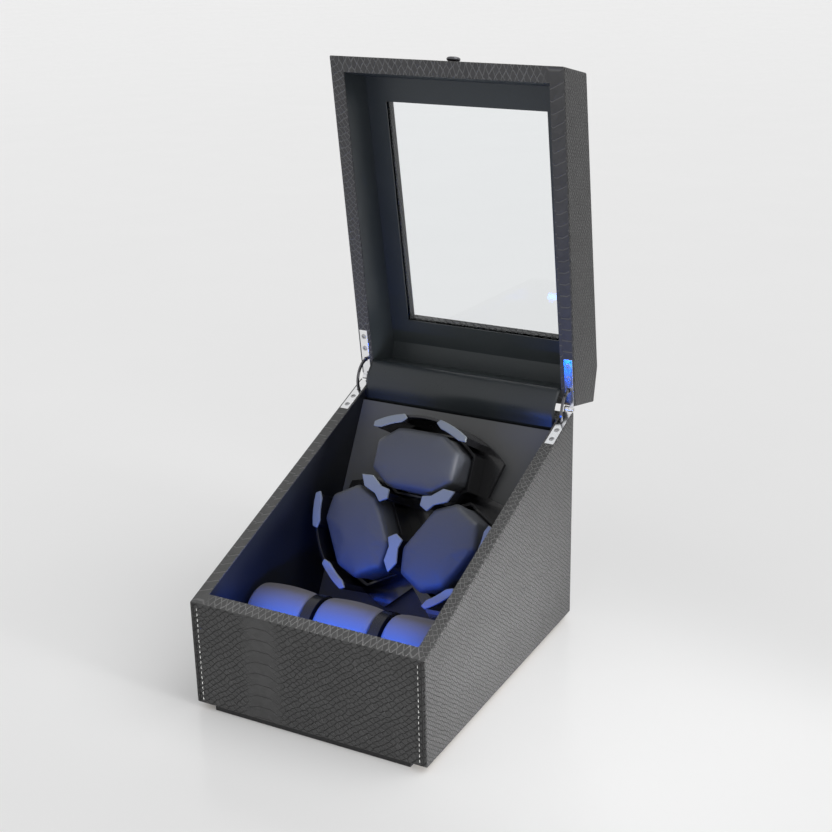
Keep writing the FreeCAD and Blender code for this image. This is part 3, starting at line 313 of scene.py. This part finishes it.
# A darker copy of the lining for the hinge flap: painted shade on its front-facing roll
SHADED_FLAP_LEATHER = grained(
    "painted_shade_flap_leather",
    (0.018, 0.023, 0.027),
    (0.034, 0.041, 0.047),
    0.32,
    700.0,
    0.00004,
    Specular_IOR_Level=0.5,
)
DIVIDER = grained(
    "divider_leather",
    (0.003, 0.003, 0.004),
    (0.007, 0.007, 0.008),
    0.25,
    900.0,
    0.00003,
    Specular_IOR_Level=0.4,
)
# A darker copy of the lining for the base interior: painted shade, as little light reaches inside the
# box
SHADED_LINING = grained(
    "painted_shade_lining",
    (0.008, 0.009, 0.012),
    (0.016, 0.018, 0.022),
    0.38,
    700.0,
    0.00004,
    Specular_IOR_Level=0.4,
)
CUSHION = grained(
    "cushion_leather",
    (0.054, 0.060, 0.074),
    (0.082, 0.088, 0.104),
    0.5,
    900.0,
    0.00006,
    Sheen_Weight=0.1,
)
PILLOW = grained(
    "pillow_leather",
    (0.105, 0.100, 0.112),
    (0.150, 0.144, 0.158),
    0.5,
    900.0,
    0.00006,
    Sheen_Weight=0.1,
)
THREAD = grained("thread", (0.50, 0.50, 0.49), (0.78, 0.78, 0.76), 0.7, 2500.0, 0.0001)
BLACK_FOLD = grained("folded_edge", (0.003, 0.003, 0.003), (0.008, 0.008, 0.008), 0.5, 900.0, 0.00005)
SLOTS = {
    "embossed_leather": LEATHER,
    "smooth_lining": LINING,
    "panel_fabric": woven("panel_fabric", (0.105, 0.108, 0.112), (0.150, 0.154, 0.158)),
    "board": boarded("board", (0.28, 0.20, 0.12), (0.46, 0.35, 0.23)),
    "plinth_black": grained(
        "plinth_black",
        (0.010, 0.010, 0.011),
        (0.022, 0.022, 0.024),
        0.6,
        500.0,
        0.00006,
    ),
    "chrome_hinge": metal("chrome_hinge", (0.80, 0.81, 0.83), (0.93, 0.93, 0.94), 0.12),
    "knob_chrome": metal("knob_chrome", (0.10, 0.10, 0.11), (0.17, 0.17, 0.18), 0.15),
    "window": glazed("window"),
    "rotor_black": grained(
        "rotor_black",
        (0.006, 0.006, 0.007),
        (0.012, 0.012, 0.014),
        0.22,
        800.0,
        0.00002,
        Coat_Weight=0.3,
    ),
    "grip_grey": grained(
        "grip_grey",
        (0.19, 0.22, 0.245),
        (0.28, 0.31, 0.335),
        0.38,
        1200.0,
        0.00004,
    ),
    "cushion_leather": CUSHION,
    "tray_black": grained(
        "tray_black",
        (0.008, 0.008, 0.010),
        (0.018, 0.018, 0.022),
        0.55,
        900.0,
        0.00006,
    ),
    "gear_white": grained(
        "gear_white",
        (0.62, 0.61, 0.57),
        (0.74, 0.73, 0.69),
        0.45,
        500.0,
        0.00003,
    ),
    "steel": metal("steel", (0.42, 0.42, 0.43), (0.58, 0.58, 0.59), 0.28),
    "bronze": metal("bronze", (0.42, 0.27, 0.11), (0.60, 0.42, 0.20), 0.35),
    "motor_steel": metal("motor_steel", (0.36, 0.36, 0.38), (0.50, 0.50, 0.52), 0.32),
    "circuit": grained("circuit", (0.008, 0.05, 0.022), (0.018, 0.10, 0.045), 0.4, 300.0, 0.00005),
    "led": lit("led", (0.03, 0.16, 1.0), 10.0),
    "control_black": grained(
        "control_black",
        (0.012, 0.012, 0.013),
        (0.026, 0.026, 0.028),
        0.42,
        900.0,
        0.00006,
    ),
    "lead_black": grained(
        "lead_black",
        (0.010, 0.010, 0.011),
        (0.022, 0.022, 0.023),
        0.5,
        900.0,
        0.00004,
    ),
}


def dress(item, material):
    item.data.materials.clear()
    item.data.materials.append(material)


for part in frame["record"]["subparts"]:
    dress(nodes[part["node"]], SLOTS[part["material_slot"]])
# The base lining takes the darker copy of the lining: painted shade
dress(nodes["base_lining"], SHADED_LINING)
dress(nodes["stay_arms"], SLOTS["knob_chrome"])
for name in ("window_side_rails", "window_cross_rails"):
    dress(nodes[name], BLACK_FOLD)


# Meshes that take the place of solids


def piece_from(name, build):
    mesh = bpy.data.meshes.new(name)
    build.to_mesh(mesh)
    build.free()
    item = bpy.data.objects.new(name, mesh)
    scene.collection.objects.link(item)
    return item


WELD = 1e-5
FLAT_ANGLE = math.radians(0.5)


def welded(name):
    """A copy of a solid's mesh with its faces joined."""
    build = bmesh.new()
    build.from_mesh(nodes[name].data)
    bmesh.ops.remove_doubles(build, verts=build.verts, dist=WELD)
    return build


def smooth(item, angle=35):
    item.data.shade_smooth()
    item.data.set_sharp_from_angle(angle=math.radians(angle))


def closed_lid(point):
    """A point of the open lid, taken to where it is on the closed box."""
    return Matrix.Rotation(LID_OPEN, 3, "X") @ (point - HINGE) + HINGE


def in_place(point):
    return point


SHARP_TURN = 0.5
NEAR_FACE = 1e-4
SHORT_EDGE = 0.02
FACING = 0.7
EDGE_ROUND = 0.0012
SKINS = (LEATHER, LIT_RIM_LEATHER, LIT_SIDE_LEATHER)
SIDE_SCALE = 1.4
RIM_SCALE = 1.2


def leather_skin(name, body, to_closed, belly, rim_side):
    """The embossed cover with rounded edges and a skin map in metres."""
    build = welded(name)
    bmesh.ops.dissolve_limit(build, angle_limit=FLAT_ANGLE, verts=build.verts, edges=build.edges)
    rounded = []
    for edge in build.edges:
        if len(edge.link_faces) != 2 or not edge.is_convex or edge.calc_face_angle(0) < SHARP_TURN:
            continue
        middle = to_closed((edge.verts[0].co + edge.verts[1].co) / 2)
        at_side = abs(middle.x) > HALF_WIDTH - NEAR_FACE
        at_end = not FRONT + NEAR_FACE < middle.y < BACK - NEAR_FACE
        if (at_side or at_end) and edge.calc_length() > SHORT_EDGE:
            rounded.append(edge)
    bmesh.ops.bevel(
        build,
        geom=rounded,
        offset=EDGE_ROUND,
        segments=4,
        profile=0.5,
        affect="EDGES",
        clamp_overlap=True,
    )
    skin = build.loops.layers.uv.new("skin")
    origin = to_closed(Vector((0, 0, 0)))
    for face in build.faces:
        normal = to_closed(face.normal.copy()) - origin
        for loop in face.loops:
            point = to_closed(loop.vert.co)
            if abs(normal.x) > FACING:
                loop[skin].uv = (SIDE_SCALE * point.y + belly["side"], SIDE_SCALE * point.z)
                # Side faces take the lighter side leather, painted light
                face.material_index = SKINS.index(LIT_SIDE_LEATHER)
            elif abs(normal.y) > FACING:
                loop[skin].uv = (point.x + belly["front"], point.z)
            else:
                rim = normal.z * rim_side > 0.5
                scale = RIM_SCALE if rim else 1
                along = math.hypot(point.y - FRONT, point.z)
                loop[skin].uv = (scale * (point.x + belly["top"]), scale * along)
                # Top rim faces take the rim leather: lighter, with pale scale edges, painted light
                face.material_index = SKINS.index(LIT_RIM_LEATHER if rim else LEATHER)
    item = piece_from(f"skin_{name}", build)
    smooth(item)
    item.modifiers.new("flat faces", "WEIGHTED_NORMAL").keep_sharp = True
    for material in SKINS:
        item.data.materials.append(material)
    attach(item, body)
    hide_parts(name)


leather_skin(
    "base_leather_cover",
    "base",
    in_place,
    {"side": 0.5, "front": 0.038, "top": 0.095},
    1,
)
leather_skin(
    "lid_leather_cover",
    "lid",
    closed_lid,
    {"side": 0.4, "front": 0.3, "top": -0.094},
    -1,
)


SOFT_TURN = 0.6
SOFT_EDGE = 0.0015


def softened(name, body, material, width):
    """A copy of a solid whose outer edges are rounded as moulding or pressing leaves them."""
    build = welded(name)
    bmesh.ops.dissolve_limit(build, angle_limit=FLAT_ANGLE, verts=build.verts, edges=build.edges)
    rounded = [
        edge
        for edge in build.edges
        if len(edge.link_faces) == 2
        and edge.is_convex
        and edge.calc_face_angle(0) > SOFT_TURN
        and edge.calc_length() > SOFT_EDGE
    ]
    bmesh.ops.bevel(
        build, geom=rounded, offset=width, segments=3, profile=0.5, affect="EDGES", clamp_overlap=True
    )
    item = piece_from(f"soft_{name}", build)
    smooth(item)
    item.modifiers.new("flat faces", "WEIGHTED_NORMAL").keep_sharp = True
    dress(item, material)
    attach(item, body)
    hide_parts(name)
    return item


PAD_ROUND = 0.0007
CUP_ROUND = 0.0005
LEAF_ROUND = 0.0003
DIVIDER_ROUND = 0.0034
softened("grip_pads", "turntable", SLOTS["grip_grey"], PAD_ROUND)
for number in (1, 2, 3):
    softened(f"rotor_cup_{number}", "turntable", SLOTS["rotor_black"], CUP_ROUND)
softened("hinge_base_leaves", "base", SLOTS["chrome_hinge"], LEAF_ROUND)
softened("hinge_lid_leaves", "lid", SLOTS["chrome_hinge"], LEAF_ROUND)
dividers = softened("storage_dividers", "base", DIVIDER, DIVIDER_ROUND)


ROUND_STEPS = 48


def turn_round(build, start, axis, profile):
    """Adds a round piece turned about an axis from pairs of distance along it and radius."""
    side = axis.orthogonal().normalized()
    other = axis.cross(side)
    loops = []
    for along, radius in profile:
        loop = []
        for step in range(ROUND_STEPS):
            angle = math.tau * step / ROUND_STEPS
            spoke = side * math.cos(angle) + other * math.sin(angle)
            loop.append(build.verts.new(start + axis * along + spoke * radius))
        loops.append(loop)
    for first, second in zip(loops, loops[1:]):
        for step in range(ROUND_STEPS):
            after = (step + 1) % ROUND_STEPS
            build.faces.new((first[step], first[after], second[after], second[step]))
    build.faces.new(loops[0])
    build.faces.new(loops[-1])


def turned_piece(name, body, replaced, material, places, profile):
    """One piece made of the same turned shape at each start and axis."""
    build = bmesh.new()
    for start, axis in places:
        turn_round(build, start, axis, profile)
    bmesh.ops.recalc_face_normals(build, faces=build.faces)
    item = piece_from(name, build)
    smooth(item, 50)
    dress(item, material)
    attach(item, body)
    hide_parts(replaced)


def opened_lid(point):
    """A point of the closed lid, taken to where it is on the open one."""
    return Matrix.Rotation(-LID_OPEN, 3, "X") @ (point - HINGE) + HINGE


def opened_way(way):
    return Matrix.Rotation(-LID_OPEN, 3, "X") @ way


KNOB_HEIGHT = 0.111
KNOB_DEPTH = 0.011
KNOB_PROFILE = [
    (0.0002, 0.0029),
    (0.0118, 0.0029),
    (0.0122, 0.0034),
    (0.0126, 0.0046),
    (0.0133, 0.0053),
    (0.0142, 0.0055),
    (0.0150, 0.0052),
    (0.0156, 0.0044),
    (0.0159, 0.0032),
    (0.01605, 0.0012),
]
knob_root = opened_lid(Vector((0, FRONT + KNOB_DEPTH, KNOB_HEIGHT)))
turned_piece(
    "turned_knob",
    "lid",
    "lid_knob",
    SLOTS["knob_chrome"],
    [(knob_root, opened_way(Vector((0, -1, 0))))],
    KNOB_PROFILE,
)


# Screws with a socket in a shallow round head, in the hinge leaves

HINGE_X = 0.09475
SCREW_PLACES = (0.027, 0.038)
SCREW_PROFILE = [
    (-0.0080, 0.0009),
    (-0.0011, 0.0013),
    (-0.0003, 0.0022),
    (0.0001, 0.0022),
    (0.0002, 0.0020),
    (0.00025, 0.0016),
    (0.0002, 0.0012),
    (-0.0005, 0.0010),
    (-0.0005, 0.0002),
]
SCREW_STEEL = metal("screw_steel", (0.38, 0.38, 0.39), (0.55, 0.55, 0.56), 0.2)
rim_way = Vector((0, -math.cos(RIM_SLOPE), -math.sin(RIM_SLOPE)))
rim_up = Vector((0, -math.sin(RIM_SLOPE), math.cos(RIM_SLOPE)))
base_screws = []
lid_screws = []
for side in (-1, 1):
    for along in SCREW_PLACES:
        middle = HINGE + Vector((side * HINGE_X, 0, 0)) + rim_way * along
        base_screws.append((middle - rim_up * RIM_GAP / 2, rim_up))
        lid_screws.append((opened_lid(middle + rim_up * RIM_GAP / 2), opened_way(-rim_up)))
for body, places in (("base", base_screws), ("lid", lid_screws)):
    turned_piece(
        f"{body}_hinge_screws",
        body,
        f"hinge_{body}_screws",
        SCREW_STEEL,
        places,
        SCREW_PROFILE,
    )


# Pale pointer on the mode knob

POINTER_HALF = 0.0005
POINTER_INSET = 0.0010
POINTER_RISE = 0.00015
knob_low, knob_high = (Vector(corner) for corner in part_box("mode_knob"))
knob_middle = (knob_low + knob_high) / 2
pointer_low = Vector(
    (knob_middle.x - POINTER_HALF, knob_high.y - POINTER_RISE, knob_middle.z + POINTER_INSET)
)
pointer_high = Vector(
    (knob_middle.x + POINTER_HALF, knob_high.y + POINTER_RISE, knob_high.z - POINTER_INSET)
)
build = bmesh.new()
bmesh.ops.create_cube(build, size=1.0)
bmesh.ops.scale(build, vec=pointer_high - pointer_low, verts=build.verts)
bmesh.ops.translate(build, vec=(pointer_low + pointer_high) / 2, verts=build.verts)
pointer = piece_from("mode_pointer", build)
dress(pointer, THREAD)
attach(pointer, "mode_knob")


# Contrast stitching beside the front corners

STITCH = 0.0030
STITCH_STEP = 0.0045
STITCH_RADIUS = 0.00035
STITCH_SIDES = 8
STITCH_END = 0.002
# Place along a stitch, thickness and rise, as shares of its length and radius
STITCH_RINGS = (
    (-0.5, 0.25, -0.8),
    (-0.35, 0.8, 0.1),
    (0.0, 1.0, 0.45),
    (0.35, 0.8, 0.1),
    (0.5, 0.25, -0.8),
)


def stitch_row(name, body, start, end, outward):
    """A row of short threads from start to end, each dipping into the leather at both ends."""
    build = bmesh.new()
    along = (end - start).normalized()
    across = along.cross(outward).normalized()
    count = int((end - start).length / STITCH_STEP)
    for number in range(count):
        middle = start + along * STITCH_STEP * (number + 0.5)
        loops = []
        for place, thick, rise in STITCH_RINGS:
            centre = middle + along * STITCH * place + outward * STITCH_RADIUS * rise
            loop = []
            for step in range(STITCH_SIDES):
                angle = math.tau * step / STITCH_SIDES
                offset = across * math.cos(angle) + outward * math.sin(angle)
                loop.append(build.verts.new(centre + offset * STITCH_RADIUS * thick))
            loops.append(loop)
        for first, second in zip(loops, loops[1:]):
            for step in range(STITCH_SIDES):
                after = (step + 1) % STITCH_SIDES
                build.faces.new((first[step], first[after], second[after], second[step]))
        build.faces.new(loops[0][::-1])
        build.faces.new(loops[-1])
    bmesh.ops.recalc_face_normals(build, faces=build.faces)
    item = piece_from(name, build)
    smooth(item, 60)
    dress(item, THREAD)
    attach(item, body)


STITCH_INSET = 0.006
for word, side in (("left", -1), ("right", 1)):
    seam_x = side * (HALF_WIDTH - STITCH_INSET)
    stitch_row(
        f"stitches_{word}",
        "base",
        Vector((seam_x, FRONT, UNDERSIDE + STITCH_END)),
        Vector((seam_x, FRONT, FRONT_TOP - STITCH_END)),
        Vector((0, -1, 0)),
    )


FOLD_INSET = 0.0028
FOLD_RADIUS = 0.0006
FOLD_END = 0.001


def fold_line(name, body, start, end):
    """The turned edge of the front leather, a narrow bead along the corner."""
    curve = bpy.data.curves.new(name, "CURVE")
    curve.dimensions = "3D"
    curve.bevel_depth = FOLD_RADIUS
    curve.bevel_resolution = 3
    line = curve.splines.new("POLY")
    line.points.add(1)
    for point, place in zip(line.points, (start, end)):
        point.co = (*place, 1)
    item = bpy.data.objects.new(name, curve)
    scene.collection.objects.link(item)
    curve.materials.append(BLACK_FOLD)
    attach(item, body)


for word, side in (("left", -1), ("right", 1)):
    fold_x = side * (HALF_WIDTH - FOLD_INSET)
    fold_line(
        f"fold_{word}",
        "base",
        Vector((fold_x, FRONT, UNDERSIDE + FOLD_END)),
        Vector((fold_x, FRONT, FRONT_TOP - FOLD_END)),
    )


# Soft cushions, swollen by a short cloth run

CUSHION_SHRINK = 0.0009
CUSHION_VOXEL = 0.0018
CLOTH_PRESSURE = 4.0
CLOTH_FRAMES = 20
SWELL_CAP = 0.0006


def soft_copy(name):
    """A smaller, evenly meshed copy of a cushion solid."""
    build = welded(name)
    item = piece_from(f"soft_{name}", build)
    low, high = (Vector(corner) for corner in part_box(name))
    middle = (low + high) / 2
    for vertex in item.data.vertices:
        way = vertex.co - middle
        vertex.co = middle + way * (1 - CUSHION_SHRINK / way.length)
    remesh = item.modifiers.new("even", "REMESH")
    remesh.mode = "VOXEL"
    remesh.voxel_size = CUSHION_VOXEL
    bake(item)
    build = bmesh.new()
    build.from_mesh(item.data)
    for _ in range(2):
        bmesh.ops.smooth_vert(
            build, verts=build.verts, factor=0.5, use_axis_x=True, use_axis_y=True, use_axis_z=True
        )
    build.to_mesh(item.data)
    build.free()
    return item


def bake(item):
    """Puts what the modifiers make of a piece into its own mesh."""
    graph = bpy.context.evaluated_depsgraph_get()
    mesh = bpy.data.meshes.new_from_object(item.evaluated_get(graph))
    item.modifiers.clear()
    item.data = mesh


def swell(items):
    """Blows the pieces up a little as cloth, and caps how far each point moves."""
    before = {item.name: [vertex.co.copy() for vertex in item.data.vertices] for item in items}
    for item in items:
        cloth = item.modifiers.new("swell", "CLOTH")
        cloth.settings.use_pressure = True
        cloth.settings.uniform_pressure_force = CLOTH_PRESSURE
        cloth.settings.effector_weights.gravity = 0.0
        cloth.point_cache.frame_start = 1
        cloth.point_cache.frame_end = CLOTH_FRAMES
    for number in range(1, CLOTH_FRAMES + 1):
        scene.frame_set(number)
    for item in items:
        bake(item)
        for vertex, start in zip(item.data.vertices, before[item.name]):
            way = vertex.co - start
            if way.length > SWELL_CAP:
                vertex.co = start + way * (SWELL_CAP / way.length)
    scene.frame_set(1)


soft = []
for number in (1, 2, 3):
    for kind, material in (("winder_cushion", CUSHION), ("storage_cushion", PILLOW)):
        name = f"{kind}_{number}"
        item = soft_copy(name)
        dress(item, material)
        soft.append((item, name))
swell([item for item, name in soft])
for item, name in soft:
    smoother = item.modifiers.new("fine", "SUBSURF")
    smoother.levels = 1
    smoother.render_levels = 1
    bake(item)
    item.data.shade_smooth()
    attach(item, name)
    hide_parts(name)


# Flap over the hinge line

FLAP_HALF = 0.0876
FLAP_LOW = 0.1729
FLAP_INNER = 0.1189
FLAP_COLUMNS = 60
FLAP_ROWS = 28
FLAP_THICKNESS = 0.0008
FLAP_RIPPLE = 0.00025
FLAP_WAVES = (95, 31)
FLAP_HANDLES = [
    Vector((0, FLAP_INNER, FLAP_LOW)),
    Vector((0, FLAP_INNER, 0.1820)),
    Vector((0, 0.1172, 0.1905)),
    Vector((0, 0.1192, 0.1975)),
    Vector((0, 0.1265, 0.1940)),
    Vector((0, 0.1285, 0.2075)),
    Vector((0, 0.1352, 0.2025)),
]


def flap_profile(share):
    """A point of the flap's middle line, from the base over a soft roll to the lid."""
    line = FLAP_HANDLES
    while len(line) > 1:
        line = [first.lerp(second, share) for first, second in zip(line, line[1:])]
    return line[0]


build = bmesh.new()
grid = []
for row in range(FLAP_ROWS + 1):
    share = row / FLAP_ROWS
    line = []
    for column in range(FLAP_COLUMNS + 1):
        x = FLAP_HALF * (2 * column / FLAP_COLUMNS - 1)
        point = flap_profile(share)
        waves = math.sin(x * FLAP_WAVES[0]) * math.sin(x * FLAP_WAVES[1] + 1)
        ripple = FLAP_RIPPLE * math.sin(math.pi * share) * waves
        line.append(build.verts.new((x, point.y - ripple, point.z + ripple)))
    grid.append(line)
for lower, upper in zip(grid, grid[1:]):
    for column in range(FLAP_COLUMNS):
        build.faces.new((lower[column], lower[column + 1], upper[column + 1], upper[column]))
flap = piece_from("soft_hinge_flap", build)
thick = flap.modifiers.new("thick", "SOLIDIFY")
thick.thickness = FLAP_THICKNESS
thick.offset = 0.0
bake(flap)
flap.data.shade_smooth()
# The flap takes the darker copy of the lining: painted shade
dress(flap, SHADED_FLAP_LEATHER)
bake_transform(flap)
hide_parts("hinge_flap")


# Floor, light and backdrop

FLOOR_SIZE = 20.0
FLOOR_GLOW = 0.14
WORLD_LIGHT = 0.52
WORLD_SHOWN = 0.8


def shown_rays(tree):
    """One for rays that show the stage to the camera, in glass or in metal, and zero for its light."""
    rays = tree.nodes.new("ShaderNodeLightPath").outputs
    total = rays["Is Camera Ray"]
    for word in ("Is Glossy Ray", "Is Transmission Ray"):
        more = tree.nodes.new("ShaderNodeMath")
        more.operation = "MAXIMUM"
        tree.links.new(total, more.inputs[0])
        tree.links.new(rays[word], more.inputs[1])
        total = more.outputs[0]
    return total


def floor_material():
    """A pale floor that shows a little brighter to the camera than the lamps make it."""
    graph = Graph("floor", Specular_IOR_Level=0.3, Emission_Color=(1.0, 1.0, 1.0))
    speckle = graph.noise(graph.place(), 6.0, 2.0)
    pale = graph.mix(speckle, (0.80, 0.80, 0.80), (0.82, 0.82, 0.82))
    graph.put(graph.shader.inputs["Base Color"], pale)
    graph.put(graph.shader.inputs["Roughness"], graph.spread(speckle, 0.2, 0.8, 0.18, 0.22))
    glow = graph.math("MULTIPLY", shown_rays(graph.tree), FLOOR_GLOW)
    graph.put(graph.shader.inputs["Emission Strength"], glow)
    return graph.material


build = bmesh.new()
bmesh.ops.create_grid(build, x_segments=4, y_segments=4, size=FLOOR_SIZE)
floor = piece_from("floor", build)
dress(floor, floor_material())

world = bpy.data.worlds.new("studio")
scene.world = world
world.use_nodes = True
sky = world.node_tree.nodes["Background"]
sky.inputs["Color"].default_value = (1.0, 1.0, 1.0, 1.0)
level = world.node_tree.nodes.new("ShaderNodeMapRange")
level.inputs["To Min"].default_value = WORLD_LIGHT
level.inputs["To Max"].default_value = WORLD_SHOWN
world.node_tree.links.new(shown_rays(world.node_tree), level.inputs["Value"])
world.node_tree.links.new(level.outputs[0], sky.inputs["Strength"])


def lamp(name, kind, place, target, energy, colour=(1, 1, 1), **settings):
    data = bpy.data.lights.new(name, kind)
    data.energy = energy
    data.color = colour
    for key, value in settings.items():
        setattr(data, key, value)
    item = bpy.data.objects.new(name, data)
    scene.collection.objects.link(item)
    item.location = place
    item.rotation_euler = (Vector(target) - Vector(place)).to_track_quat("-Z", "Y").to_euler()


lamp("key", "SUN", (0.9, 0.25, 1.6), (0, 0, 0.1), 0.9, angle=math.radians(45))
lamp(
    "low_right",
    "AREA",
    (0.70, -0.10, 0.10),
    (0.10, -0.01, 0.07),
    0.4,
    shape="RECTANGLE",
    size=0.3,
    size_y=0.12,
    spread=math.radians(30),
)
lamp(
    "glow",
    "AREA",
    (0, -0.112, 0.083),
    (0, 0.05, 0.10),
    0.17,
    (0.008, 0.14, 1.0),
    shape="RECTANGLE",
    size=0.15,
    size_y=0.006,
    specular_factor=0.4,
)

lamp(
    "low_glow",
    "AREA",
    (0, -0.030, 0.066),
    (0, 0.045, 0.105),
    0.018,
    (0.004, 0.09, 1.0),
    shape="RECTANGLE",
    size=0.13,
    size_y=0.006,
    specular_factor=0.4,
)
